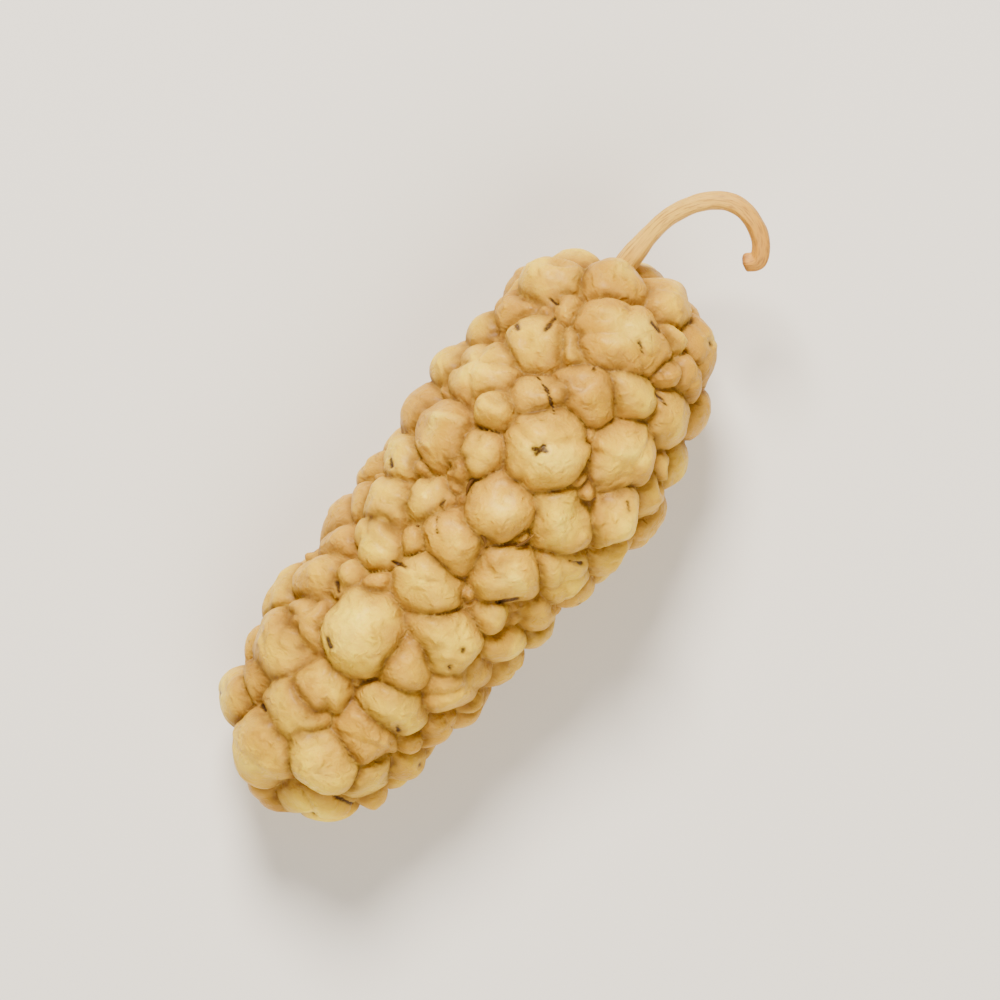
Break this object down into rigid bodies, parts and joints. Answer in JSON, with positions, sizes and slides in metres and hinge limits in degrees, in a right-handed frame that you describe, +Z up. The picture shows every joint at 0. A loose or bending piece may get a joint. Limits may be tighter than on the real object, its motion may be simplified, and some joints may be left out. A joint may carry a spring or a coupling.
{
  "type": "dried mulberry",
  "caption": "A dried white mulberry with a curled stalk, lying on its side: a golden cream head of small wrinkled drupelets.",
  "frame": {"origin": "On the surface the fruit lies on, under the middle of the box round the fruit and its stalk.", "axes": "+Z is up. +Y runs along the fruit from its tip to its stem end, where the stalk is. +X is across it."},
  "size_m": [0.0109, 0.0295, 0.0103],
  "materials": {
    "dried_flesh": "satin",
    "dried_stalk": "matte"
  },
  "bodies": {
    "root": {"fruit": "dried_flesh", "stalk": "dried_stalk"}
  },
  "joints": []
}
